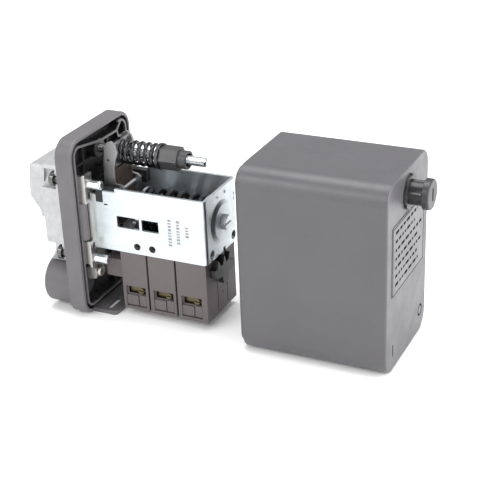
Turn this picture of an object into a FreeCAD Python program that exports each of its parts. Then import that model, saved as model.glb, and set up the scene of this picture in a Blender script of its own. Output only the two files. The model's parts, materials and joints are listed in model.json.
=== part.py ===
import FreeCAD, Part

import math
import os

# Industrial pressure switch, opened: a cast pressure body and a plastic base tray carry a sheet-metal frame
# with the two setting springs, a rocking lever and a three-pole contact block.  A box-shaped cover slides
# over the mechanism from +X and is held by one captive screw.
# +X runs from the pressure port to the cover's closed end, +Y is depth, +Z is up.  Millimetres.
# The design frame below has x = 0 on the tray's rim, y = 0 on the centre plane and z = 0 on the floor.
# Everything is exported with the centre of the port's mouth as the origin.

# Driving dimensions
BASE_WIDTH = 60.0
BASE_HEIGHT = 98.0
CORNER_RADIUS = 9.5
COVER_DEPTH = 74.0
COVER_WALL = 2.3
COVER_REST = 92.0            # x of the cover's open edge with the cover taken off
SCREW_PULL = 6.5             # the captive screw stands this far out

RIM_DEPTH = 8.8
TRAY_FLOOR = 2.2
RIM_WALL = 2.0               # outer wall of the rim, outside the groove
GROOVE = 1.8
INNER_WALL = 1.2
GROOVE_DEPTH = 2.6

PORT_Z = 61.5
PORT_MOUTH = -34.5
THREAD_BORE_R = 5.72         # G 1/4 minor diameter 11.445
BODY_BACK = -24.0
AXIS_Z = 54.5                # diaphragm, plunger and main spring
STUD_Z = 85.5                # differential spring and cover screw
PIVOT_X = 14.8
PIVOT_Z = 67.2

ENTRY_Y = 14.6
ENTRY_Z = 13.8
ENTRY_R = 9.45               # PG 13.5 minor diameter 18.9
ENTRY_OUTER_R = 13.0
ENTRY_END = -26.0

SHEET = 1.5
FRAME_HALF = 18.0            # outer faces of the frame's two side plates
FRAME_END = 67.5
FRAME_Z = (37.2, 72.0)
SEAT_RISE = 1.2              # the pressed seat stands this far proud of the end plate
STRAP_FACE = 4.0
STRAP_EDGE = 24.9            # outer faces of the straps' lugs
STRAP_Z = (28.0, 80.0)
YOKE_SCREW_Y = 21.4
YOKE_SCREW_Z = (32.8, 74.5)

POLE_X = (24.4, 40.8, 57.2)
BLOCK_X = (16.8, 66.2)
BLOCK_Y = (-17.4, 16.0)
BLOCK_Z = (3.9, 37.0)
CHANNEL_Y = 5.5              # half-width of the contact carrier's channel
CHANNEL_Z = (30.0, 39.5)

WALL_TOP = -0.5              # front of the tray's inner top wall
TOP_WALL = ((-21.4, 93.3), (0.6, 89.3), (17.2, 89.0), (22.2, 93.2))
CORNER_WALL = ((17.2, 89.0), (18.4, 85.4), (25.6, 84.0))

V = FreeCAD.Vector
TRAY_BACK = -RIM_DEPTH
FLOOR_FACE = TRAY_BACK + TRAY_FLOOR
INSET = RIM_WALL + GROOVE + INNER_WALL
FRAME_INSIDE = FRAME_HALF - SHEET


def box(x, y, z):
    """Box between three (low, high) pairs."""
    corner = V(min(x), min(y), min(z))
    return Part.makeBox(abs(x[1] - x[0]), abs(y[1] - y[0]), abs(z[1] - z[0]), corner)


def rod_x(x, y, z, radius):
    return Part.makeCylinder(radius, x[1] - x[0], V(x[0], y, z), V(1, 0, 0))


def rod_y(y, x, z, radius):
    return Part.makeCylinder(radius, y[1] - y[0], V(x, y[0], z), V(0, 1, 0))


def rod_z(z, x, y, radius):
    return Part.makeCylinder(radius, z[1] - z[0], V(x, y, z[0]), V(0, 0, 1))


def tube_x(x, y, z, outer, inner):
    return rod_x(x, y, z, outer).cut(rod_x((x[0] - 1, x[1] + 1), y, z, inner))


def cone_x(x, y, z, low_radius, high_radius):
    return Part.makeCone(low_radius, high_radius, x[1] - x[0], V(x[0], y, z), V(1, 0, 0))


def fuse(shapes):
    whole = shapes[0]
    if len(shapes) > 1:
        whole = whole.fuse(shapes[1:])
    return whole.removeSplitter()


def cut(shape, tools):
    return shape.cut(tools).removeSplitter()


def mirrored(shape):
    """The same piece on the other side of the centre plane."""
    return shape.mirror(V(0, 0, 0), V(0, 1, 0))


def pair(shape):
    return Part.Compound([shape, mirrored(shape)])


def moved_x(shape, distance):
    copy = shape.copy()
    copy.translate(V(distance, 0, 0))
    return copy


def prism_x(points, x):
    """Polygon of (y, z) points, drawn out along X."""
    corners = [V(x[0], y, z) for y, z in points]
    face = Part.Face(Part.makePolygon(corners + corners[:1]))
    return face.extrude(V(x[1] - x[0], 0, 0))


def prism_y(points, y):
    """Polygon of (x, z) points, drawn out along Y."""
    corners = [V(px, y[0], pz) for px, pz in points]
    face = Part.Face(Part.makePolygon(corners + corners[:1]))
    return face.extrude(V(0, y[1] - y[0], 0))


def edges_along(shape, axis):
    """Straight edges parallel to one axis, for rounding."""
    found = []
    for edge in shape.Edges:
        bound = edge.BoundBox
        sizes = [bound.XLength, bound.YLength, bound.ZLength]
        if sizes[axis] > 0.2 and sum(sizes) - sizes[axis] < 1e-6:
            found.append(edge)
    return found


def edges_at_x(shape, x):
    """Edges lying in the plane at x."""
    near = 1e-4
    return [e for e in shape.Edges if abs(e.BoundBox.XMin - x) < near and abs(e.BoundBox.XMax - x) < near]


def outline_bar(x, inset):
    """Bar with the base's rounded outline, pulled in by inset."""
    half = BASE_WIDTH / 2 - inset
    bar = box(x, (-half, half), (inset, BASE_HEIGHT - inset))
    return bar.makeFillet(CORNER_RADIUS - inset, edges_along(bar, 0))


def rounded_box(x, y, z, radius, axis=0):
    block = box(x, y, z)
    return block.makeFillet(radius, edges_along(block, axis))


def hexagon_x(x, y, z, across_flats):
    radius = across_flats / math.sqrt(3)
    angles = [math.radians(60 * i) for i in range(6)]
    return prism_x([(y + radius * math.cos(a), z + radius * math.sin(a)) for a in angles], x)


def domed_end(shape, tip, centre_z, sphere_radius):
    """Round the +X end of a rod on y = 0 with a large sphere that touches the tip."""
    ball = Part.makeSphere(sphere_radius, V(tip - sphere_radius, 0, centre_z))
    head_length = sphere_radius / 3
    plain = box((-60, tip - head_length), (-20, 20), (centre_z - 20, centre_z + 20))
    return shape.common(ball.fuse(plain)).removeSplitter()


def coil_x(x, z, mean_radius, wire_radius, turns):
    """Open coil spring on the axis y = 0 at height z, with its wire inside the x span."""
    travel = x[1] - x[0] - 2 * wire_radius
    helix = Part.makeHelix(travel / turns, travel, mean_radius)
    start = V(mean_radius, 0, 0)
    tangent = V(0, mean_radius * 2 * math.pi, travel / turns).normalize()
    section = Part.Wire(Part.makeCircle(wire_radius, start, tangent))
    spring = Part.Wire(helix).makePipeShell([section], True, True)
    spring = Part.Solid(spring)
    if spring.Volume < 0:
        spring.reverse()
    spring.rotate(V(0, 0, 0), V(0, 1, 0), 90)
    spring.translate(V(x[0] + wire_radius, 0, z))
    return spring


def cross_recess(x, y, z, size, depth):
    """Cross-shaped recess cut into a screw head that faces +X."""
    arm = size * 0.3
    across = box((x - depth, x + 1), (y - size, y + size), (z - arm, z + arm))
    upright = box((x - depth, x + 1), (y - arm, y + arm), (z - size, z + size))
    return across.fuse(upright)


# ---- pressure side ----------------------------------------------------------------------------------------

def pressure_body():
    """Cast body: flange block behind the tray, faceted port boss and pressure chamber."""
    block = rounded_box((BODY_BACK, TRAY_BACK), (-23, 23), (27, 81), 4.0)
    side = [(11.7, 45.6), (11.7, 49.7), (18.9, 60.8), (18.9, 68.3), (17.0, 78.5)]
    boss = prism_x([(-y, z) for y, z in side] + side[::-1], (PORT_MOUTH, BODY_BACK + 2))
    boss = boss.makeFillet(1.6, edges_along(boss, 0))
    boss = boss.makeFillet(0.8, edges_at_x(boss, PORT_MOUTH))
    tools = [
        rod_x((PORT_MOUTH - 1, -21), 0, PORT_Z, THREAD_BORE_R),
        rod_x((-22, -12), 0, PORT_Z, 3.0),
        rod_x((-13.2, -9), 0, AXIS_Z, 13.0),
        rod_x((TRAY_BACK - 1.4, TRAY_BACK + 1), 0, AXIS_Z, 17.0),
    ]
    for side_sign in (-1, 1):
        y = side_sign * YOKE_SCREW_Y
        for z in YOKE_SCREW_Z:
            tools.append(rod_x((BODY_BACK - 1, -15), y, z, 5.2))
            tools.append(box((BODY_BACK - 1, -15), (y, side_sign * 24), (z - 5.2, z + 5.2)))
            tools.append(rod_x((-16, -8), y, z, 2.75))
    return cut(fuse([block, boss]), tools)


def diaphragm():
    return rod_x((TRAY_BACK - 1.4, TRAY_BACK), 0, AXIS_Z, 16.9)


def plunger():
    """Flanged pin that the diaphragm pushes against the lever."""
    tip = 10.3
    pin = domed_end(rod_x((-7.5, tip), 0, AXIS_Z, 4.0), tip, AXIS_Z, 8.0)
    return fuse([rod_x((TRAY_BACK + 0.3, -7.1), 0, AXIS_Z, 12.4), pin])


def tray_wall(start, end):
    """Thin upright wall on the tray floor between two (y, z) points, with rounded ends."""
    half = INNER_WALL / 2
    along = V(0, end[0] - start[0], end[1] - start[1])
    aside = V(0, -along.z, along.y).normalize() * half
    ends = [V(0, *start), V(0, *end)]
    corners = [ends[0] + aside, ends[1] + aside, ends[1] - aside, ends[0] - aside]
    wall = prism_x([(c.y, c.z) for c in corners], (FLOOR_FACE - 1, WALL_TOP))
    caps = [rod_x((FLOOR_FACE - 1, WALL_TOP), e.y, e.z, half) for e in ends]
    return wall.fuse(caps)


def base_tray():
    """Shallow tray with a grooved rim, two cable entries, plunger dome, ribs and a slotted lower tongue."""
    rim = outline_bar((TRAY_BACK, 0), 0)
    rim = rim.makeFillet(0.9, edges_at_x(rim, 0))
    rim = rim.cut(outline_bar((FLOOR_FACE, 1), INSET))
    groove = outline_bar((-GROOVE_DEPTH, 1), RIM_WALL).cut(outline_bar((-5, 2), RIM_WALL + GROOVE))
    gap_z = (BASE_HEIGHT - INSET - 0.5, BASE_HEIGHT - RIM_WALL - GROOVE)
    rim = rim.cut([groove, box((FLOOR_FACE, 1), (-20.6, 18.4), gap_z)])
    pieces = [rim]
    pieces += [tray_wall(start, end) for start, end in zip(TOP_WALL, TOP_WALL[1:])]
    pieces += [tray_wall(start, end) for start, end in zip(CORNER_WALL, CORNER_WALL[1:])]
    for y in (-ENTRY_Y, ENTRY_Y):
        boss = rod_x((ENTRY_END, TRAY_BACK + 1), y, ENTRY_Z, ENTRY_OUTER_R)
        pieces.append(boss.makeFillet(0.8, edges_at_x(boss, ENTRY_END)))
    pieces.append(rod_x((FLOOR_FACE - 1, -1.6), 0, AXIS_Z, 15.2))
    pieces.append(rod_x((-1.7, 0.6), 0, AXIS_Z, 6.5))
    pieces.append(rod_x((FLOOR_FACE - 1, -1.0), 0, STUD_Z, 5.0))
    tongue = rounded_box((-3, 13.5), (-21, 21), (0, 2.2), 2.0, 2)
    pieces.append(tongue)
    for side in (-1, 1):
        pieces.append(rod_z((43.6, 64.2), -0.4, side * 22.6, 2.9))
        pieces.append(box((FLOOR_FACE - 1, -0.4), (side * 21.2, side * 24.0), (43.6, 64.2)))
        pieces.append(rounded_box((FLOOR_FACE - 1, 1.9), (side * 15.4, side * 23.2), (20.4, 27.6), 0.8))
        pieces.append(box((FLOOR_FACE - 1, -3.6), (side * 11.4, side * 12.6), (76, 90)))
        pieces.append(box((FLOOR_FACE - 1, -4.2), (side * 7.4, side * 8.6), (4.5, 30)))
        for z in (29.0, 73.5, 81.5):
            pieces.append(box((FLOOR_FACE - 1, -3.6), (side * 4.5, side * 23.3), (z - 0.6, z + 0.6)))
    tray = fuse(pieces)
    tools = [
        rod_x((TRAY_BACK - 1, -3.6), 0, AXIS_Z, 13.0),
        rod_x((-4, 2), 0, AXIS_Z, 4.05),
        rod_x((-7.8, 0), 0, STUD_Z, 2.46),
    ]
    for side in (-1, 1):
        tools.append(rod_x((ENTRY_END - 1, 3), side * ENTRY_Y, ENTRY_Z, ENTRY_R))
        tools.append(rod_x((-4.5, 3), side * 19.0, 24.0, 1.75))
        for z in YOKE_SCREW_Z:
            tools.append(rod_x((TRAY_BACK - 1, 0), side * YOKE_SCREW_Y, z, 2.75))
    for y in (-18.4, 5.4):
        tools.append(rounded_box((5.0, 8.8), (y, y + 13.0), (-1, 3), 1.0, 2))
    return cut(tray, tools)


def mounting_yoke():
    """Two steel straps that hold the frame, each with lugs bent back onto the tray floor."""
    strap = rounded_box((STRAP_FACE - 1.4, STRAP_FACE), (-STRAP_EDGE, -FRAME_HALF), STRAP_Z, 0.8)
    parts = [strap]
    for low, high in ((64.6, 79.2), (30.0, 43.0)):
        parts.append(box((FLOOR_FACE, STRAP_FACE - 0.2), (-STRAP_EDGE, 1.4 - STRAP_EDGE), (low, high)))
    for z in YOKE_SCREW_Z:
        parts.append(rod_x((0.9, STRAP_FACE - 1), -YOKE_SCREW_Y, z, 3.5))
    tools = [box((-10, 6), (-30, -21.6), (43.2, 64.4))]
    for z in YOKE_SCREW_Z:
        tools.append(rod_x((-8, 6), -YOKE_SCREW_Y, z, 2.5))
    for z in (68.2, 40.0):
        tools.append(rounded_box((0, 6), (-22.6, -20.6), (z - 1.7, z + 1.7), 0.95))
    return pair(cut(fuse(parts), tools))


def yoke_screws():
    """Four screws, heads in the cast pockets, that clamp body, tray and straps."""
    head = rod_x((-17.8, -15), 0, 0, 3.9)
    head = head.makeFillet(0.7, edges_at_x(head, -17.8))
    tip = 12.0
    shank = rod_x((-15.5, tip), 0, 0, 2.45)
    shank = shank.makeFillet(1.1, edges_at_x(shank, tip))
    screw = cut(fuse([head, shank]), [hexagon_x((-20, -16.2), 0, 0, 4.0)])
    screws = []
    for y in (-YOKE_SCREW_Y, YOKE_SCREW_Y):
        for z in YOKE_SCREW_Z:
            copy = screw.copy()
            copy.translate(V(0, y, z))
            screws.append(copy)
    return Part.Compound(screws)


def earth_clamps():
    """Square saddle washers of the two earth terminals."""
    plate = rounded_box((1.9, 3.3), (-22.6, -15.4), (20.5, 27.5), 0.6)
    lips = [box((1.9, 4.3), (-22.6, -21.8), (21.3, 26.7)), box((1.9, 4.3), (-16.2, -15.4), (21.3, 26.7))]
    return pair(cut(fuse([plate] + lips), [rod_x((0, 6), -19.0, 24.0, 1.9)]))


def earth_screws():
    head = rod_x((3.3, 5.9), -19.0, 24.0, 2.75)
    head = head.makeFillet(0.8, edges_at_x(head, 5.9))
    head = head.cut(cross_recess(5.9, -19.0, 24.0, 1.7, 1.3))
    return pair(fuse([head, rod_x((-4.4, 3.5), -19.0, 24.0, 1.7)]))


# ---- frame and lever --------------------------------------------------------------------------------------

def bent_channel():
    """The frame's U profile before it is trimmed: two side plates and the end plate."""
    outer = box((STRAP_FACE - 1.4, FRAME_END), (-FRAME_HALF, FRAME_HALF), FRAME_Z)
    inner = box((-5, FRAME_END - SHEET), (-FRAME_INSIDE, FRAME_INSIDE), (30, 80))
    end_edges = [e for e in edges_along(outer, 2) if e.BoundBox.XMin > FRAME_END - 1]
    inner_edges = [e for e in edges_along(inner, 2) if e.BoundBox.XMin > FRAME_END - 2 * SHEET]
    return outer.makeFillet(2.4, end_edges).cut(inner.makeFillet(0.9, inner_edges))


def frame_bracket():
    """Zinc-plated frame: stepped side plates, scale window and a pressed seat for the adjusting screw."""
    wide = (-30, 30)
    steps = [
        box((0, 5.4), wide, (67.5, 90)),
        box((5.4, 9.5), wide, (63.5, 90)),
        box((9.4, 16.9), wide, (69.9, 90)),
    ]
    near = (-30, 0)
    openings = [
        rounded_box((16.9, 29.9), near, (50.9, 57.2), 0.4, 1),
        rounded_box((31.3, 41.0), near, (50.9, 57.2), 0.4, 1),
        rounded_box((9.9, 12.1), near, (62.2, 63.0), 0.35, 1),
        rod_y(wide, 27.7, 41.3, 1.9),
        rod_y(wide, 36.5, 41.3, 1.9),
    ]
    seat_out = cone_x((FRAME_END - 0.2, FRAME_END + SEAT_RISE), 0, AXIS_Z, 11.9, 9.4)
    seat_out = seat_out.makeFillet(0.7, edges_at_x(seat_out, FRAME_END + SEAT_RISE))
    seat_in = cone_x((FRAME_END - SHEET - 0.1, FRAME_END + SEAT_RISE - SHEET), 0, AXIS_Z, 11.3, 8.9)
    end = [
        seat_in,
        rod_x((60, 75), 0, AXIS_Z, 3.05),
        rod_x((60, 75), -11.6, 40.7, 2.4),
        rod_x((60, 75), 13.2, 41.2, 2.4),
        rounded_box((60, 75), (0.8, 3.4), (36, 39.4), 0.6),
        rounded_box((60, 75), (14.9, 15.7), (60.2, 61.8), 0.35),
        rounded_box((60, 75), (14.9, 15.7), (63.0, 64.6), 0.35),
    ]
    dots = []
    for y in (-2.5, 5.6):
        dot = rod_x((FRAME_END - 0.1, FRAME_END + 0.45), y, 68.7, 0.8)
        dots.append(dot.makeFillet(0.35, edges_at_x(dot, FRAME_END + 0.45)))
    return cut(fuse([bent_channel(), seat_out] + dots), steps + openings + end)


def pin_bearings():
    """Plastic blocks clipped into the frame's notches, holding the pivot pin."""
    block = box((5.7, 18.2), (-16.4, -12.6), (63.8, 70.4))
    nose = box((5.7, 9.2), (-18.4, -16.0), (63.8, 70.0))
    whole = cut(fuse([block, nose]), [rod_y((-15.6, -10), PIVOT_X, PIVOT_Z, 1.25)])
    return pair(whole)


def pivot_pin():
    return rod_y((-15.6, 15.6), PIVOT_X, PIVOT_Z, 1.25)


def lever():
    """Rocker bent from sheet: a web with the stud hole, two side walls with pin ears, and a tail."""
    web = box((10.6, 12.0), (-9, 9), (47, 91.0))
    tail = box((10.6, 12.0), (-4, 4), (34, 48))
    outline = [
        (5.8, 71), (6.4, 82.7), (7.2, 89.5), (8.6, 92.4), (11.4, 93.6), (13.6, 91.6), (15.0, 87.6),
        (13.4, 83.4), (12.4, 79), (12.3, 70.6), (15.6, 70.2), (17.2, 68.6), (17.2, 65.6), (15.4, 64.3),
        (12.0, 62), (12.0, 47), (8.8, 47), (6.2, 60),
    ]
    wall = prism_y(outline, (-9, -7.6))
    wall = wall.makeFillet(0.8, edges_along(wall, 1))
    wall = wall.cut(rod_y((-10, -7), PIVOT_X, PIVOT_Z, 1.3)).cut(rod_y((-10, -7), 9.0, 83.0, 0.8))
    whole = fuse([web, tail, wall, mirrored(wall)])
    return cut(whole, [rod_x((8, 14), 0, STUD_Z, 3.3)])


def insulating_panel():
    return rounded_box((12.0, 13.2), (-7.4, 7.4), (47.5, 78.8), 1.0)


def panel_rivets():
    """Two rivets that hold the panel on the lever's web."""
    rivets = []
    for z in (50.6, 74.8):
        rivets.append(rod_x((13.2, 13.45), 5.2, z, 1.5))
    return Part.Compound(rivets)


# ---- springs and setting screws ---------------------------------------------------------------------------

def main_spring_foot():
    """Seat of the main spring, standing on the lever's panel."""
    stem = rod_x((13.2, 25), 0, AXIS_Z, 4.6)
    flange = rod_x((24.4, 26.0), 0, AXIS_Z, 12.3)
    pilot = rod_x((25.5, 29.0), 0, AXIS_Z, 8.6)
    return fuse([stem, flange, pilot.makeFillet(0.8, edges_at_x(pilot, 29.0))])


def main_spring():
    return coil_x((26.1, 60.3), AXIS_Z, 11.0, 1.45, 6.0)


def main_spring_plate():
    """Spring seat that the adjusting screw draws along the frame; its ears keep it from turning."""
    disc = rod_x((60.4, 62.2), 0, AXIS_Z, 12.7)
    ears = rounded_box((60.4, 62.2), (-16.2, 16.2), (50.5, 58.5), 1.0)
    hub = rod_x((57.4, 65.2), 0, AXIS_Z, 6.2)
    return cut(fuse([disc, ears, hub]), [rod_x((50, 70), 0, AXIS_Z, 3.05)])


def adjusting_screw():
    """Main setting screw: collar inside the pressed seat, slotted hexagon outside it."""
    thread = rod_x((33.0, 70.5), 0, AXIS_Z, 3.0)
    thread = thread.makeFillet(0.6, edges_at_x(thread, 33.0))
    collar = rod_x((65.4, 67.0), 0, AXIS_Z, 5.2)
    head = hexagon_x((68.9, 71.6), 0, AXIS_Z, 7.0)
    head = head.common(cone_x((68.9, 71.61), 0, AXIS_Z, 6.0, 3.6))
    slot = box((70.4, 73), (-5, 5), (AXIS_Z - 0.6, AXIS_Z + 0.6))
    return cut(fuse([thread, collar, head]), [slot])


def differential_stud():
    """Plated stud anchored in the tray; its free end takes the cover screw."""
    tip = 61.0
    stud = rod_x((-7.8, tip), 0, STUD_Z, 2.45)
    return stud.makeFillet(1.4, edges_at_x(stud, tip))


def differential_foot():
    return tube_x((12.0, 13.0), 0, STUD_Z, 6.3, 3.3)


def differential_spring():
    return coil_x((13.1, 34.5), STUD_Z, 5.5, 1.0, 6.5)


def differential_washer():
    return tube_x((34.6, 36.2), 0, STUD_Z, 6.9, 2.53)


def differential_nut():
    """Black setting nut: hexagon with a hollow round collar."""
    hexagon = hexagon_x((36.3, 46.6), 0, STUD_Z, 11.0)
    hexagon = hexagon.common(cone_x((36.3, 46.6), 0, STUD_Z, 12.0, 6.1))
    collar = rod_x((46.0, 51.0), 0, STUD_Z, 4.7)
    bore = rod_x((30, 60), 0, STUD_Z, 2.5)
    return cut(fuse([hexagon, collar]), [bore, rod_x((47.6, 60), 0, STUD_Z, 3.6)])


# ---- contact block ----------------------------------------------------------------------------------------

def contact_block():
    """Open-topped three-pole housing with terminal windows on both sides."""
    housing = box(BLOCK_X, BLOCK_Y, BLOCK_Z)
    foot = box((7.0, 17.5), (-16.0, -6.0), (21.0, 31.0))
    pieces = [housing, foot]
    tools = [box((0, 80), (-CHANNEL_Y, CHANNEL_Y), (CHANNEL_Z[0], 45))]
    for x in POLE_X:
        tools.append(box((x - 6.6, x + 6.6), (-15.6, 14.2), (6.0, 45)))
        for face, inward in ((BLOCK_Y[0], 1), (BLOCK_Y[1], -1)):
            recess = face + inward * 1.2
            tools.append(box((x - 5.9, x + 5.9), (face - inward, recess), (5.6, 17.4)))
            tools.append(box((x - 5.0, x + 5.0), (face - inward, face + inward * 2.0), (12.8, 16.6)))
    for x in (32.2, 48.6):
        for face in BLOCK_Y:
            tools.append(box((x - 0.55, x + 0.55), (face - 2.2, face + 2.2), (0, 45)))
    for y, high in ((-5.2, 23.0), (5.7, 23.0)):
        tools.append(box((BLOCK_X[1] - 0.7, 70), (y - 0.35, y + 0.35), (5.6, high)))
    tools.append(rod_x((BLOCK_X[1] - 0.5, 70), 0.2, 14.2, 0.5))
    return cut(fuse(pieces), tools)


def block_lid():
    """Lid between the frame's plates, with side rails for the fixing screws."""
    plate = box((17.4, 65.6), (-16.2, 15.9), (37.0, 41.2))
    near_rail = box((20.0, 60.0), (-16.2, -13.0), (41.0, 44.4))
    far_rail = box((20.0, 60.0), (13.0, 15.9), (41.0, 44.4))
    tools = [box((0, 80), (-CHANNEL_Y, CHANNEL_Y), (30, CHANNEL_Z[1]))]
    for x in (27.7, 36.5):
        tools.append(rod_y((-17, -14), x, 41.3, 1.5))
        tools.append(rod_y((10, 17), x, 41.3, 1.55))
    return cut(fuse([plate, near_rail, far_rail]), tools)


def block_screws():
    """Two screws through the frame's far plate into the lid's rail."""
    screws = []
    for x in (27.7, 36.5):
        head = rod_y((FRAME_HALF, FRAME_HALF + 1.8), x, 41.3, 2.8)
        head = head.cut(box((x - 4, x + 4), (FRAME_HALF + 0.9, 25), (40.9, 41.7)))
        screws.append(fuse([head, rod_y((10.4, FRAME_HALF + 0.2), x, 41.3, 1.5)]))
    return Part.Compound(screws)


def terminal_covers():
    """Snap-in panels under the terminal slots, each split by a groove."""
    panels = []
    for x in POLE_X:
        for face, inward in ((BLOCK_Y[0], 1), (BLOCK_Y[1], -1)):
            front = face + inward * 0.25
            back = face + inward * 1.2
            left = box((x - 5.7, x + 0.9), (front, back), (6.4, 12.0))
            right = box((x + 1.7, x + 5.7), (front, back), (6.4, 12.6))
            spine = box((x - 5.7, x + 5.7), (back - inward * 0.3, back), (6.4, 12.0))
            panels.append(fuse([left, right, spine]))
    return Part.Compound(panels)


def terminal(x, face_y, strip_y):
    """Brass terminal: front tab at face_y, shelf, and upright strip whose middle is at strip_y."""
    outward = 1 if face_y > 0 else -1
    tab = box((x - 5.6, x + 4.8), (face_y - outward * 1.2, face_y), (8.0, 18.6))
    shelf = box((x - 5.6, x + 4.8), (face_y - outward * 1.2, strip_y - outward * 2), (8.0, 9.4))
    strip = box((x - 5.6, x - 4.7), (strip_y - 2, strip_y + 2), (8.0, 36.8))
    hole = rod_y((face_y - 4, face_y + 4), x + 2.2, 14.7, 1.35)
    return cut(fuse([tab, shelf, strip]), [hole])


def line_terminals():
    return Part.Compound([terminal(x, -14.6, -8.4) for x in POLE_X])


def load_terminals():
    return Part.Compound([terminal(x, 13.2, 8.4) for x in POLE_X])


def terminal_screws():
    """Clamp screws seen in the terminal slots."""
    screws = []
    for x in POLE_X:
        for tab_y, outward in ((-14.6, -1), (13.2, 1)):
            ends = sorted((tab_y, tab_y + outward * 1.6))
            head = rod_y(ends, x + 2.2, 14.7, 1.8)
            slot_ends = (tab_y + outward * 0.8, tab_y + outward * 3)
            head = head.cut(box((x - 1, x + 6), slot_ends, (14.35, 15.05)))
            shank_ends = sorted((tab_y, tab_y - outward * 4.4))
            screws.append(fuse([head, rod_y(shank_ends, x + 2.2, 14.7, 1.3)]))
    return Part.Compound(screws)


def fixed_contacts():
    tips = []
    for x in POLE_X:
        for y in (-8.4, 8.4):
            tips.append(rod_x((x - 4.7, x - 4.0), y, 34.8, 1.6))
    return Part.Compound(tips)


def contact_carrier():
    """Sliding bar pushed by the lever's tail, with a window for each pole's bridge and spring."""
    bar = box((12.6, 65.9), (-4.6, 4.6), (31.0, 38.4)).cut(box((62.5, 70), (-6, 6), (36.6, 40)))
    nose = box((12.4, 13.0), (-3.0, 3.0), (35.4, 38.0))
    tools = [box((x - 3.0, x + 5.0), (-6, 6), (32.8, 36.8)) for x in POLE_X]
    return cut(fuse([bar, nose]), tools)


def moving_bridges():
    return Part.Compound([box((x - 3.0, x - 2.0), (-10.2, 10.2), (33.0, 36.6)) for x in POLE_X])


def bridge_contacts():
    tips = []
    for x in POLE_X:
        for y in (-8.4, 8.4):
            tips.append(rod_x((x - 3.7, x - 3.0), y, 34.8, 1.6))
    return Part.Compound(tips)


def contact_springs():
    return Part.Compound([coil_x((x - 1.95, x + 4.95), 34.8, 1.3, 0.45, 4.0) for x in POLE_X])


def actuator_clip():
    """Toothed black clip on the carrier's free end."""
    profile = [
        (-9.6, 26.6), (-13.4, 28.4), (-13.6, 32.6), (-10.4, 32.2), (-8.9, 36.6), (-6.6, 32.4), (-3.9, 32.4),
        (-2.2, 36.8), (-0.5, 32.2), (2.2, 32.2), (4.1, 35.9), (4.9, 30.9), (8.9, 29.6), (8.6, 26.4),
        (5.6, 25.2), (2.4, 25.6), (1.4, 21.6), (-0.8, 20.6), (-4.2, 21.6), (-4.8, 25.8),
    ]
    plate = prism_x(profile, (66.6, 69.4))
    boss = box((65.9, 67.0), (-3.6, 3.6), (30.6, 32.2))
    return fuse([plate, boss])


# ---- cover ------------------------------------------------------------------------------------------------

def cover_shell():
    """Five-sided shell with a locating tongue on its open edge, a screw hole and I and O marks."""
    outer = outline_bar((0, COVER_DEPTH), 0)
    outer = outer.makeFillet(1.0, edges_at_x(outer, COVER_DEPTH))
    band_inset = RIM_WALL + GROOVE - 0.4
    tongue = outline_bar((-2.2, 0.5), RIM_WALL + 0.4)
    hollow = outline_bar((3.0, COVER_DEPTH - COVER_WALL), COVER_WALL)
    mouth = outline_bar((-5, 4.0), band_inset)
    tools = [
        hollow,
        mouth,
        rod_x((60, 80), 0, STUD_Z, 7.3),
        box((-5, 14.2), (-21.6, 21.6), (-1, 4.2)),
        box((COVER_DEPTH - 0.4, 80), (-20.6, -19.4), (8.0, 14.0)),
        tube_x((COVER_DEPTH - 0.4, 80), 21.5, 12.0, 3.3, 2.2),
    ]
    return moved_x(cut(fuse([outer, tongue]), tools), COVER_REST)


def cover_label():
    """Blank data plate on the cover's end face."""
    plate = rounded_box((COVER_DEPTH, COVER_DEPTH + 0.3), (-23.0, 23.6), (40, 76), 1.5)
    return moved_x(plate, COVER_REST)


def cover_bush():
    """Notched guide bush in the cover's end wall."""
    tube = rod_x((COVER_DEPTH - COVER_WALL - 1.6, COVER_DEPTH + 0.5), 0, STUD_Z, 7.3)
    flange = rod_x((COVER_DEPTH, COVER_DEPTH + 1.3), 0, STUD_Z, 8.6)
    tools = [rod_x((60, 90), 0, STUD_Z, 6.05)]
    for step in range(6):
        angle = math.radians(30 + 60 * step)
        y, z = 8.8 * math.cos(angle), STUD_Z + 8.8 * math.sin(angle)
        tools.append(rod_x((COVER_DEPTH + 0.01, 90), y, z, 1.2))
    return moved_x(cut(fuse([tube, flange]), tools), COVER_REST)


def cover_screw():
    """Captive plastic screw: flat disc head with a closed slot, fluted barrel and a bore for the stud."""
    head_from = COVER_DEPTH + 1.6
    head_to = head_from + 3.4
    barrel_end = 52.3
    head = rod_x((head_from, head_to), 0, STUD_Z, 7.5)
    head = head.makeFillet(0.8, edges_at_x(head, head_to))
    barrel = rod_x((barrel_end, head_from + 0.5), 0, STUD_Z, 6.0)
    tools = [
        rod_x((barrel_end - 1, barrel_end + 14), 0, STUD_Z, 2.53),
        tube_x((57.9, 59.3), 0, STUD_Z, 8.0, 5.1),
        rounded_box((head_to - 1.8, head_to + 1), (-0.9, 0.9), (STUD_Z - 3.4, STUD_Z + 3.4), 0.85),
    ]
    for step in range(6):
        angle = math.radians(30 + 60 * step)
        y, z = 7.6 * math.cos(angle), STUD_Z + 7.6 * math.sin(angle)
        tools.append(rod_x((61.5, head_from - 0.6), y, z, 2.5))
    return moved_x(cut(fuse([head, barrel]), tools), COVER_REST + SCREW_PULL)


def cover_screw_ring():
    """Clip in the barrel's groove that keeps the screw in the cover."""
    return moved_x(tube_x((58.0, 59.2), 0, STUD_Z, 7.5, 5.2), COVER_REST + SCREW_PULL)


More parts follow.
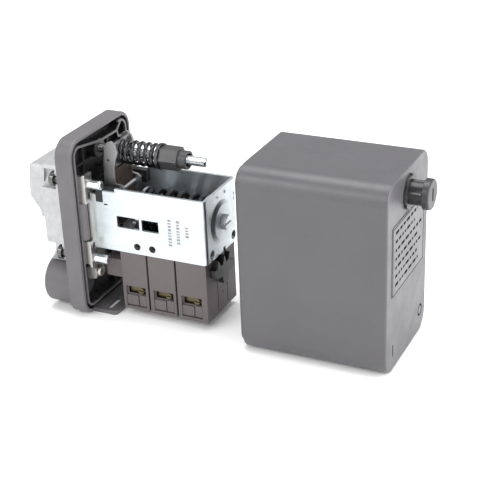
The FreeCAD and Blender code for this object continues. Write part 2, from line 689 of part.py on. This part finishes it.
NODES = [
    pressure_body, diaphragm, plunger, base_tray, mounting_yoke, yoke_screws, earth_clamps, earth_screws,
    frame_bracket, pin_bearings, pivot_pin, lever, insulating_panel, panel_rivets,
    main_spring_foot, main_spring, main_spring_plate, adjusting_screw,
    differential_stud, differential_foot, differential_spring, differential_washer,
    differential_nut,
    contact_block, block_lid, block_screws, terminal_covers, line_terminals, load_terminals,
    terminal_screws, fixed_contacts, contact_carrier, moving_bridges, bridge_contacts, contact_springs,
    actuator_clip,
    cover_shell, cover_label, cover_bush, cover_screw, cover_screw_ring,
]


def main():
    os.makedirs("parts", exist_ok=True)
    for build in NODES:
        shape = build()
        shape.translate(V(-PORT_MOUTH, 0, -PORT_Z))
        solids = shape.Solids
        valid = shape.isValid() and all(s.Volume > 0 for s in solids)
        print(f"{build.__name__}: {len(solids)} solid(s), {shape.Volume / 1000:.3f} cm3, valid {valid}")
        shape.exportStep(f"parts/{build.__name__}.step")


main()
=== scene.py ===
import json
import math
import random

import bmesh
import bpy
from mathutils import Matrix, Vector


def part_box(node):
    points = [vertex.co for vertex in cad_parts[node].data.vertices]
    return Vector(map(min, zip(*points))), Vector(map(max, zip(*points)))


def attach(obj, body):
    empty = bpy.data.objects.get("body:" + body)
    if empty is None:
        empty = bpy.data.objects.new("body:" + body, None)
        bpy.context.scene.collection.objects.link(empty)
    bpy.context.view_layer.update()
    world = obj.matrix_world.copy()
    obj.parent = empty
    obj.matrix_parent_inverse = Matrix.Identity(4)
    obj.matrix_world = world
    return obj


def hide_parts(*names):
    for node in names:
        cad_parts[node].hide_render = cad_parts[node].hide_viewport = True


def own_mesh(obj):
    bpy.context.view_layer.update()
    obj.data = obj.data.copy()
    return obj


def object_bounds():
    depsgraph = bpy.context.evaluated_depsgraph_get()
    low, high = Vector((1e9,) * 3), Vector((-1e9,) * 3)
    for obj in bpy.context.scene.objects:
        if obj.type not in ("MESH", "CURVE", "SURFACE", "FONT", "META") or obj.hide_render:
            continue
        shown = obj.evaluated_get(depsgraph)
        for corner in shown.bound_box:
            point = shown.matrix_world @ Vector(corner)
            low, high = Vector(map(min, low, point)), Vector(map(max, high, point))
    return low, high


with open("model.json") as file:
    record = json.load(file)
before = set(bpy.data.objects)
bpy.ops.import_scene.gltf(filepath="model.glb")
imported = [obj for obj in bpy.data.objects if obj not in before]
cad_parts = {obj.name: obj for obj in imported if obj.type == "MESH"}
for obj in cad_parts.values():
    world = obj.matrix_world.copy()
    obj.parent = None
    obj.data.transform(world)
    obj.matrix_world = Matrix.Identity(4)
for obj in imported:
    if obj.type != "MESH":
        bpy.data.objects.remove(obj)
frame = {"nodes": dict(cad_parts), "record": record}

cad_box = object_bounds()
random.seed(7)
MM = 0.001
ROUND_SIDES = 32
nodes = frame["nodes"]


# ---- places taken from the frame --------------------------------------------------------------------------

def low(node):
    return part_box(node)[0]


def high(node):
    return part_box(node)[1]


def middle(node):
    return (low(node) + high(node)) / 2


# ---- materials --------------------------------------------------------------------------------------------

class Surface:
    """A node material under construction: one Principled shader and helpers that feed it."""

    def __init__(self, name, metallic=0.0, specular=0.5):
        self.material = bpy.data.materials.new(name)
        self.material.use_nodes = True
        self.tree = self.material.node_tree
        self.shader = self.tree.nodes["Principled BSDF"]
        self.shader.inputs["Metallic"].default_value = metallic
        self.shader.inputs["Specular IOR Level"].default_value = specular
        self.place = self.node("ShaderNodeTexCoord").outputs["Object"]

    def node(self, kind, **settings):
        made = self.tree.nodes.new(kind)
        for key, value in settings.items():
            setattr(made, key, value)
        return made

    def link(self, output, target):
        self.tree.links.new(output, target)

    def feed(self, output, socket):
        self.link(output, self.shader.inputs[socket])

    def stretched(self, scale):
        """Object coordinates scaled differently along each axis."""
        mapping = self.node("ShaderNodeMapping")
        mapping.inputs["Scale"].default_value = scale
        self.link(self.place, mapping.inputs["Vector"])
        return mapping.outputs["Vector"]

    def noise(self, scale, detail=3.0, roughness=0.5, place=None):
        made = self.node("ShaderNodeTexNoise")
        made.inputs["Scale"].default_value = scale
        made.inputs["Detail"].default_value = detail
        made.inputs["Roughness"].default_value = roughness
        self.link(place or self.place, made.inputs["Vector"])
        return made.outputs["Fac"]

    def spots(self, scale, place=None):
        made = self.node("ShaderNodeTexVoronoi")
        made.inputs["Scale"].default_value = scale
        self.link(place or self.place, made.inputs["Vector"])
        return made.outputs["Distance"]

    def ramp(self, value, start, end, low_value=0.0, high_value=1.0):
        made = self.node("ShaderNodeMapRange")
        made.inputs["From Min"].default_value = start
        made.inputs["From Max"].default_value = end
        made.inputs["To Min"].default_value = low_value
        made.inputs["To Max"].default_value = high_value
        self.link(value, made.inputs["Value"])
        return made.outputs["Result"]

    def math(self, operation, first, second):
        made = self.node("ShaderNodeMath", operation=operation)
        for socket, value in zip(made.inputs, (first, second)):
            if isinstance(value, (int, float)):
                socket.default_value = value
            else:
                self.link(value, socket)
        return made.outputs["Value"]

    def mix(self, factor, first, second):
        """Colour between two colours or colour outputs."""
        made = self.node("ShaderNodeMix", data_type="RGBA")
        self.link(factor, made.inputs["Factor"])
        for socket, value in ((made.inputs[6], first), (made.inputs[7], second)):
            if isinstance(value, (tuple, list)):
                socket.default_value = (*value, 1.0)
            else:
                self.link(value, socket)
        return made.outputs[2]

    def edges(self, radius, gain=3.0):
        """0 on flat stretches and up to 1 on sharp corners."""
        bevel = self.node("ShaderNodeBevel", samples=6)
        bevel.inputs["Radius"].default_value = radius
        geometry = self.node("ShaderNodeNewGeometry")
        dot = self.node("ShaderNodeVectorMath", operation="DOT_PRODUCT")
        self.link(bevel.outputs["Normal"], dot.inputs[0])
        self.link(geometry.outputs["Normal"], dot.inputs[1])
        return self.ramp(dot.outputs["Value"], 1.0, 1.0 - 1.0 / gain)

    def bump(self, height, distance, strength=1.0, soften=0.0, under=None):
        made = self.node("ShaderNodeBump")
        made.inputs["Distance"].default_value = distance
        made.inputs["Strength"].default_value = strength
        self.link(height, made.inputs["Height"])
        if under is not None:
            self.link(under, made.inputs["Normal"])
        elif soften:
            bevel = self.node("ShaderNodeBevel", samples=6)
            bevel.inputs["Radius"].default_value = soften
            self.link(bevel.outputs["Normal"], made.inputs["Normal"])
        return made.outputs["Normal"]


def shade(colour, factor):
    return tuple(min(1.0, c * factor) for c in colour)


def moulded(name, colour, roughness=0.5, grain=0.00002, grain_scale=2600, wear=0.25, soften=0.0003,
            flow=0.05, specular=0.5):
    """Moulded plastic: spark-eroded grain, faint flow marks and paler rubbed edges."""
    s = Surface(name, specular=specular)
    cloud = s.noise(38, 4, 0.6)
    fine = s.noise(1500, 2, 0.6)
    tone = s.mix(s.ramp(cloud, 0.35, 0.65), shade(colour, 1 - flow), shade(colour, 1 + flow))
    tone = s.mix(s.ramp(fine, 0.35, 0.65, 0.0, 0.6), tone, shade(colour, 1.22))
    rubbed = s.math("MULTIPLY", s.edges(0.0005), s.ramp(s.noise(160, 4), 0.35, 0.6, 0.15, 1.0))
    tone = s.mix(s.math("MULTIPLY", rubbed, wear), tone, shade(colour, 1.9))
    s.feed(tone, "Base Color")
    patches = s.ramp(s.noise(70, 5, 0.65), 0.3, 0.7, roughness - 0.07, roughness + 0.08)
    s.feed(patches, "Roughness")
    leather = s.math("ADD", s.noise(grain_scale, 2, 0.5), s.math("MULTIPLY", s.spots(grain_scale * 0.8), 0.5))
    s.feed(s.bump(leather, grain, 0.8, soften), "Normal")
    return s.material


def plated(name, colour, roughness=0.28, streak=(30, 900, 900), wear=0.0, soften=0.0002, tarnish=0.12,
           depth=0.000006, painted_shade_below_x=None):
    """Plated or drawn steel: rolled streaks, cloudy passivation and brighter edges.

    Below the x given as the last argument, the steel's colour is darkened as painted shade.
    """
    s = Surface(name, metallic=1.0)
    lines = s.noise(1.0, 3, 0.6, s.stretched(streak))
    cloud = s.noise(55, 5, 0.65)
    tone = s.mix(s.ramp(cloud, 0.35, 0.7), shade(colour, 1 + tarnish / 2), shade(colour, 1 - tarnish))
    tone = s.mix(s.ramp(lines, 0.3, 0.7, 0.0, 0.35), tone, shade(colour, 0.86))
    if wear:
        tone = s.mix(s.math("MULTIPLY", s.edges(0.0004), wear), tone, (0.78, 0.78, 0.8))
    # Painted shade: steel below the given x turns near-black.
    if painted_shade_below_x is not None:
        axes = s.node("ShaderNodeSeparateXYZ")
        s.link(s.place, axes.inputs["Vector"])
        painted_shade = s.ramp(axes.outputs["X"], painted_shade_below_x, painted_shade_below_x + 0.0015, 0.9, 0.0)
        tone = s.mix(painted_shade, tone, (0.09, 0.088, 0.085))
    s.feed(tone, "Base Color")
    rough = s.math("ADD", s.ramp(lines, 0.3, 0.7, roughness - 0.05, roughness + 0.06),
                   s.ramp(cloud, 0.4, 0.7, 0.0, 0.08))
    s.feed(rough, "Roughness")
    s.feed(s.bump(s.math("ADD", lines, s.noise(700, 3)), depth, 0.7, soften), "Normal")
    return s.material


def cast(name, colour):
    """Tumbled casting: pebbled skin, dull patches and brighter corners."""
    s = Surface(name, metallic=0.55)
    pebbles = s.spots(900)
    skin = s.noise(260, 6, 0.65)
    tone = s.mix(s.ramp(skin, 0.3, 0.7), shade(colour, 0.86), shade(colour, 1.08))
    tone = s.mix(s.math("MULTIPLY", s.edges(0.0007), 0.5), tone, (0.86, 0.86, 0.87))
    s.feed(tone, "Base Color")
    s.feed(s.ramp(s.noise(120, 4), 0.3, 0.7, 0.42, 0.62), "Roughness")
    height = s.math("ADD", skin, s.math("MULTIPLY", pebbles, 0.6))
    s.feed(s.bump(height, 0.00009, 0.8, 0.0006), "Normal")
    return s.material


def laminate(name, colour):
    """Insulating laminate: fine crossed fibres under a dull resin skin."""
    s = Surface(name)
    along = s.noise(1.0, 3, 0.6, s.stretched((200, 260, 2600)))
    across = s.noise(1.0, 3, 0.6, s.stretched((200, 2600, 260)))
    weave = s.math("ADD", along, across)
    s.feed(s.mix(s.ramp(weave, 0.7, 1.3), shade(colour, 0.7), shade(colour, 1.35)), "Base Color")
    s.feed(s.ramp(s.noise(200, 3), 0.3, 0.7, 0.4, 0.55), "Roughness")
    s.feed(s.bump(weave, 0.00003, 0.8, 0.0002), "Normal")
    return s.material


def tray_plastic(outside, inner_shade_colour):
    """The tray: outer skin as the cover, and near-black painted shade over the inner faces within the rim's
    groove, below the rib tops.
    """
    s = Surface("tray_moulding")
    lo, hi = low("base_tray"), high("base_tray")
    axes = s.node("ShaderNodeSeparateXYZ")
    s.link(s.place, axes.inputs["Vector"])
    rim_wall = 1.4 * MM
    corner = 9.5 * MM - rim_wall
    straight_y = hi.y - rim_wall - corner
    straight_z = (hi.z - lo.z) / 2 - rim_wall - corner
    mid_z = (lo.z + hi.z) / 2
    rim_back = low("diaphragm").x + 1.6 * MM
    from_mid_y = s.math("ABSOLUTE", axes.outputs["Y"], 0.0)
    from_mid_z = s.math("ABSOLUTE", s.math("SUBTRACT", axes.outputs["Z"], mid_z), 0.0)
    past_y = s.math("MAXIMUM", s.math("SUBTRACT", from_mid_y, straight_y), 0.0)
    past_z = s.math("MAXIMUM", s.math("SUBTRACT", from_mid_z, straight_z), 0.0)
    past = s.math("SQRT", s.math("ADD", s.math("MULTIPLY", past_y, past_y),
                                 s.math("MULTIPLY", past_z, past_z)), 0.0)
    reach_side = s.math("SUBTRACT", corner, past)
    reach_x = s.math("SUBTRACT", axes.outputs["X"], rim_back)
    rib_tops = hi.x - 14.4 * MM
    reach_top = s.math("SUBTRACT", rib_tops, axes.outputs["X"])
    within = s.math("MINIMUM", reach_side, s.math("MINIMUM", reach_x, reach_top))
    # Painted shade: the inner faces turn near-black, and the rib tops keep the tray's grey.
    inner_shade_mask = s.ramp(within, 0.0, 0.0002)
    cloud = s.ramp(s.noise(45, 4, 0.6), 0.35, 0.65)
    skin = s.mix(cloud, shade(outside, 0.93), shade(outside, 1.07))
    inner_painted_shade = s.mix(cloud, shade(inner_shade_colour, 0.85), shade(inner_shade_colour, 1.2))
    tone = s.mix(inner_shade_mask, skin, inner_painted_shade)
    tone = s.mix(s.math("MULTIPLY", s.edges(0.0005), 0.16), tone, shade(outside, 1.5))
    s.feed(tone, "Base Color")
    s.feed(s.ramp(s.noise(80, 4), 0.3, 0.7, 0.4, 0.55), "Roughness")
    grain = s.math("ADD", s.noise(2600, 2), s.math("MULTIPLY", s.spots(2100), 0.5))
    s.feed(s.bump(grain, 0.00002, 0.8, 0.0003), "Normal")
    return s.material


COVER_GREY = (0.084, 0.0815, 0.088)
TRAY_GREY = (0.122, 0.116, 0.122)
ZINC = (0.66, 0.69, 0.71)
BLOCK_BROWN = (0.105, 0.088, 0.090)
FINISHES = {
    "cast_metal": cast("cast_alloy", (0.50, 0.505, 0.515)),
    "rubber": moulded("rubber_black", (0.02, 0.02, 0.02), 0.65),
    "white_plastic": moulded("acetal_white", (0.72, 0.71, 0.66), 0.4),
    # the second colour is the near-black painted shade inside the rim
    "tray_plastic": tray_plastic(TRAY_GREY, (0.012, 0.012, 0.013)),
    "nickel_steel": plated("nickel_plate", (0.56, 0.545, 0.52), 0.3, (900, 900, 40)),
    # zinc-plated steel left of x 24 mm is painted dark as shade
    "zinc_steel": plated("zinc_plate", ZINC, 0.22, (40, 900, 900), painted_shade_below_x=0.024),
    "zinc_sheet": plated("zinc_sheet", (0.64, 0.685, 0.715), 0.36, (25, 800, 800), tarnish=0.08),
    "grey_steel": plated("phosphated_steel", (0.38, 0.375, 0.385), 0.42, (700, 700, 60), wear=0.35),
    "black_plastic": moulded("black_moulding", (0.013, 0.013, 0.014), 0.42),
    "brown_laminate": laminate("brown_laminate", (0.060, 0.040, 0.028)),
    "black_spring_steel": plated("oiled_wire", (0.060, 0.060, 0.064), 0.2, (600, 600, 600), soften=0.0),
    "black_steel": plated("black_oxide", (0.075, 0.074, 0.078), 0.36, (600, 600, 60), wear=0.3),
    "block_plastic": moulded("block_thermoset", BLOCK_BROWN, 0.5, wear=0.35, flow=0.06),
    # brass darkened far below its own colour: painted shade of the terminal windows
    "brass": plated("brass_in_painted_shade", (0.13, 0.11, 0.065), 0.34, (900, 60, 900)),
    "silver": plated("silver_contact", (0.86, 0.86, 0.84), 0.3, (400, 400, 400)),
    "cover_plastic": moulded("cover_moulding", COVER_GREY, 0.38, grain=0.000026, wear=0.3),
    "label": moulded("label_film", (0.115, 0.112, 0.119), 0.4, grain=0.000006, wear=0.1),
    "screw_plastic": moulded("screw_moulding", (0.030, 0.029, 0.032), 0.34, grain=0.000012, wear=0.3),
}

# Printed and filled marks, which have no slot of their own
FINISHES["dark_ink"] = moulded("dark_ink", (0.007, 0.007, 0.008), 0.85, grain=0.000004, wear=0.0,
                               specular=0.1)
FINISHES["grey_ink"] = moulded("grey_ink", (0.27, 0.27, 0.28), 0.6, grain=0.000004, wear=0.0)

slot_of = {row["node"]: row["material_slot"] for row in frame["record"]["subparts"]}
for node_name, node in nodes.items():
    node.data.materials.clear()
    node.data.materials.append(FINISHES[slot_of[node_name]])
nodes["differential_nut"].data.materials[0] = moulded("nut_moulding", (0.042, 0.040, 0.042), 0.4)


# ---- pieces -----------------------------------------------------------------------------------------------

def piece(name, mesh, body, finish, smooth=True):
    """Link a finished mesh as a piece that rides on a body."""
    made = bpy.data.objects.new(name, mesh)
    bpy.context.scene.collection.objects.link(made)
    mesh.materials.append(FINISHES[finish])
    for polygon in mesh.polygons:
        polygon.use_smooth = smooth
    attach(made, body)
    return made


def circle(count):
    """Cosine and sine of evenly spaced angles round a full turn."""
    angles = [2 * math.pi * step / count for step in range(count)]
    return [(math.cos(angle), math.sin(angle)) for angle in angles]


def bridge(built, first, second):
    """Faces between two rings that have the same number of points."""
    count = len(first)
    for step in range(count):
        after = (step + 1) % count
        built.faces.new((first[step], first[after], second[after], second[step]))


def finished_mesh(built, name):
    mesh = bpy.data.meshes.new(name)
    bmesh.ops.recalc_face_normals(built, faces=built.faces)
    built.to_mesh(mesh)
    built.free()
    return mesh


def sweep(path, radius, sides):
    """Mesh of a round wire along a list of points, closed at both ends."""
    built = bmesh.new()
    rings = []
    up = Vector((0, 0, 1))
    for index, point in enumerate(path):
        before = path[max(index - 1, 0)]
        after = path[min(index + 1, len(path) - 1)]
        along = (after - before).normalized()
        side = along.cross(up)
        if side.length < 1e-3:
            side = along.cross(Vector((1, 0, 0)))
        side.normalize()
        up = side.cross(along).normalized()
        rings.append([built.verts.new(point + radius * (c * side + s * up)) for c, s in circle(sides)])
    for first, second in zip(rings, rings[1:]):
        bridge(built, first, second)
    built.faces.new(rings[0][::-1])
    built.faces.new(rings[-1])
    return finished_mesh(built, "swept")


def spring_path(start, end, centre, mean_radius, wire, turns, dead_turns=0.75, per_turn=40):
    """Helix along X whose last turns at each end lie flat."""
    total = turns + 2 * dead_turns
    dead_rise = wire * 2 * dead_turns * 1.02
    active = (end - start) - 2 * wire - 2 * dead_rise
    points = []
    count = int(total * per_turn)
    for index in range(count + 1):
        turn = total * index / count
        if turn < dead_turns:
            x = dead_rise * turn / dead_turns
        elif turn > total - dead_turns:
            x = dead_rise + active + dead_rise * (turn - total + dead_turns) / dead_turns
        else:
            x = dead_rise + active * (turn - dead_turns) / turns
        angle = 2 * math.pi * turn + math.pi / 2
        offset = Vector((0, mean_radius * math.cos(angle), mean_radius * math.sin(angle)))
        points.append(Vector((start + wire + x, centre.y, centre.z)) + offset)
    return points


def spring(name, node, wire, turns, start_gap):
    """Coil spring in place of its CAD solid, riding on the base."""
    lo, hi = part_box(node)
    start, end = lo.x + start_gap, hi.x
    mean_radius = (hi.z - lo.z) / 2 - wire
    path = spring_path(start, end, middle(node), mean_radius, wire, turns)
    made = piece(name, sweep(path, wire, 18), "base", slot_of[node])
    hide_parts(node)
    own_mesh(made)


def thread(name, node, body, major, pitch, depth, chamfer):
    """Threaded rod along X in place of a plain CAD one, with chamfered ends."""
    start, end, centre = low(node).x, high(node).x, middle(node)
    rows = max(2, int((end - start) / (pitch / 8)))
    built = bmesh.new()
    rings = []
    for row in range(rows + 1):
        x = start + (end - start) * row / rows
        to_end = min(x - start, end - x)
        limit = major - max(0.0, chamfer - to_end)
        ring = []
        for step, (cosine, sine) in enumerate(circle(ROUND_SIDES)):
            phase = (x / pitch - step / ROUND_SIDES) % 1.0
            groove = depth * min(1.0, max(0.0, 1.25 - abs(phase - 0.5) * 3.2))
            radius = min(major - groove, limit)
            ring.append(built.verts.new((x, centre.y + radius * cosine, centre.z + radius * sine)))
        rings.append(ring)
    for first, second in zip(rings, rings[1:]):
        bridge(built, first, second)
    built.faces.new(rings[0][::-1])
    built.faces.new(rings[-1])
    return piece(name, finished_mesh(built, name), body, slot_of[node])


spring("main_coil", "main_spring", 1.45 * MM, 4.0, 0.6 * MM)
spring("differential_coil", "differential_spring", 1.0 * MM, 4.3, 0.0)

stud = thread("threaded_stud", "differential_stud", "base", 2.45 * MM, 0.8 * MM, 0.32 * MM, 0.7 * MM)
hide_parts("differential_stud")
# the stud's end left of x 52 mm, behind the lever, is painted dark as shade
stud.data.materials[0] = plated("stud_zinc", ZINC, 0.22, (40, 900, 900), painted_shade_below_x=0.052)


def flat_marks(name, boxes, body, finish):
    """Thin printed marks as one mesh of low slabs: each box is a (low, high) pair of corners."""
    built = bmesh.new()
    for lo, hi in boxes:
        size = hi - lo
        matrix = Matrix.Translation((lo + hi) / 2) @ Matrix.Diagonal((*size, 1.0))
        bmesh.ops.create_cube(built, size=1.0, matrix=matrix)
    piece(name, finished_mesh(built, name), body, finish, smooth=False)


def bracket_marks():
    """Three columns of plain ticks where the frame carries printed data."""
    lo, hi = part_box("frame_bracket")
    face = lo.y
    thick, width, gap = 0.02 * MM, 1.9 * MM, 0.7 * MM
    columns = ((20.4, 12.2, 9), (15.6, 12.2, 8), (10.6, 15.0, 4))    # from the end, from the top, ticks
    boxes = []
    for from_end, from_top, count in columns:
        x = hi.x - from_end * MM
        z = hi.z - from_top * MM
        for _ in range(count):
            length = random.choice((0.8, 1.1, 1.3)) * MM
            boxes.append((Vector((x - width, face - thick, z - length)), Vector((x, face, z))))
            z -= length + gap
    flat_marks("bracket_ticks", boxes, "base", "grey_ink")


def label_lines():
    """Thin frame and blank rows on the cover's data plate."""
    lo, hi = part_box("cover_label")
    thick, line, margin = 0.03 * MM, 0.5 * MM, 0.6 * MM
    height, gap = 1.5 * MM, 1.7 * MM
    x0, x1 = hi.x, hi.x + thick
    y0, y1, z0, z1 = lo.y + margin, hi.y - margin, lo.z + margin, hi.z - margin
    boxes = [
        (Vector((x0, y0, z0)), Vector((x1, y1, z0 + line))),
        (Vector((x0, y0, z1 - line)), Vector((x1, y1, z1))),
        (Vector((x0, y0, z0)), Vector((x1, y0 + line, z1))),
        (Vector((x0, y1 - line, z0)), Vector((x1, y1, z1))),
    ]
    rows = 7
    for row in range(rows):
        z = z0 + (z1 - z0) * (row + 0.9) / (rows + 0.8)
        y = y0 + 3.5 * MM
        stop = y1 - (3 + 12 * random.random()) * MM
        while y < stop:
            dash = random.choice((1.8, 3.0, 4.6)) * MM
            boxes.append((Vector((x0, y, z)), Vector((x1, min(y + dash, stop), z + height))))
            y += dash + gap
    flat_marks("label_rows", boxes, "cover", "dark_ink")


def switch_marks():
    """Dark filling of the recessed I and O marks on the cover's end."""
    lo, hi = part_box("cover_shell")
    x0, x1 = hi.x - 0.4 * MM, hi.x - 0.25 * MM        # the recess is 0.4 deep
    bar_low, bar_high = (-20.6 * MM, lo.z + 8.0 * MM), (-19.4 * MM, lo.z + 14.0 * MM)
    ring_y, ring_z, outer, inner = 21.5, 12.0, 3.3, 2.2
    flat_marks("mark_on", [(Vector((x0, *bar_low)), Vector((x1, *bar_high)))], "cover", "dark_ink")
    built = bmesh.new()
    rings = []
    for x, radius in ((x0, outer), (x1, outer), (x1, inner), (x0, inner)):
        rings.append([built.verts.new((x, (ring_y + radius * c) * MM, lo.z + (ring_z + radius * s) * MM))
                      for c, s in circle(ROUND_SIDES)])
    for first, second in zip(rings, rings[1:] + rings[:1]):
        bridge(built, first, second)
    piece("mark_off", finished_mesh(built, "mark_off"), "cover", "dark_ink", smooth=False)


bracket_marks()
label_lines()
switch_marks()


# ---- stage ------------------------------------------------------------------------------------------------

def floor():
    mesh = bpy.data.meshes.new("floor")
    size = 6.0
    z = cad_box[0].z
    corners = [(-size, -size, z), (size, -size, z), (size, size, z), (-size, size, z)]
    mesh.from_pydata(corners, [], [(0, 1, 2, 3)])
    made = bpy.data.objects.new("floor", mesh)
    bpy.context.scene.collection.objects.link(made)
    s = Surface("pale_floor", specular=0.1)
    s.shader.inputs["Base Color"].default_value = (0.96, 0.96, 0.96, 1.0)
    s.shader.inputs["Emission Color"].default_value = (1, 1, 1, 1)
    s.shader.inputs["Emission Strength"].default_value = 0.06
    s.shader.inputs["Roughness"].default_value = 0.9
    made.data.materials.append(s.material)


def softbox(name, place, target, width, height, power):
    light = bpy.data.lights.new(name, "AREA")
    light.shape = "RECTANGLE"
    light.size = width
    light.size_y = height
    light.energy = power
    made = bpy.data.objects.new(name, light)
    bpy.context.scene.collection.objects.link(made)
    made.location = place
    made.rotation_euler = (Vector(target) - Vector(place)).to_track_quat("-Z", "Y").to_euler()


def stage():
    floor()
    target = (cad_box[0] + cad_box[1]) / 2
    softbox("right_light", target + Vector((0.95, -0.05, 0.35)), target, 0.8, 0.8, 12.0)
    softbox("front_light", target + Vector((-0.45, -1.0, 0.45)), target, 0.5, 0.9, 3.0)
    softbox("edge_light", target + Vector((-0.44, -0.75, 0.66)), target, 0.7, 0.22, 2.6)
    softbox("top_light", target + Vector((-0.1, 0.15, 1.1)), target, 0.9, 0.6, 10.0)
    world = bpy.data.worlds.new("studio")
    world.use_nodes = True
    world.node_tree.nodes["Background"].inputs["Color"].default_value = (1, 1, 1, 1)
    world.node_tree.nodes["Background"].inputs["Strength"].default_value = 0.62
    bpy.context.scene.world = world
    bpy.context.scene.view_settings.view_transform = "Standard"


CAMERA_PLACE = Vector((0.3612, -0.5040, 0.2523))
CAMERA_AZIMUTH = 26.3
CAMERA_ELEVATION = 25.5
CAMERA_ROLL = -2.5
CAMERA_LENS = 92.3


def camera():
    """Camera that looks along the azimuth from +Y, down by the elevation, with a small roll."""
    lens = bpy.data.cameras.new("camera")
    lens.lens = CAMERA_LENS
    lens.sensor_width = 36.0
    made = bpy.data.objects.new("camera", lens)
    bpy.context.scene.collection.objects.link(made)
    turn = Matrix.Rotation(math.radians(CAMERA_AZIMUTH), 4, "Z")
    tilt = Matrix.Rotation(math.radians(90 - CAMERA_ELEVATION), 4, "X")
    roll = Matrix.Rotation(math.radians(CAMERA_ROLL), 4, "Z")
    made.matrix_world = Matrix.Translation(CAMERA_PLACE) @ turn @ tilt @ roll
    bpy.context.scene.camera = made


stage()
camera()
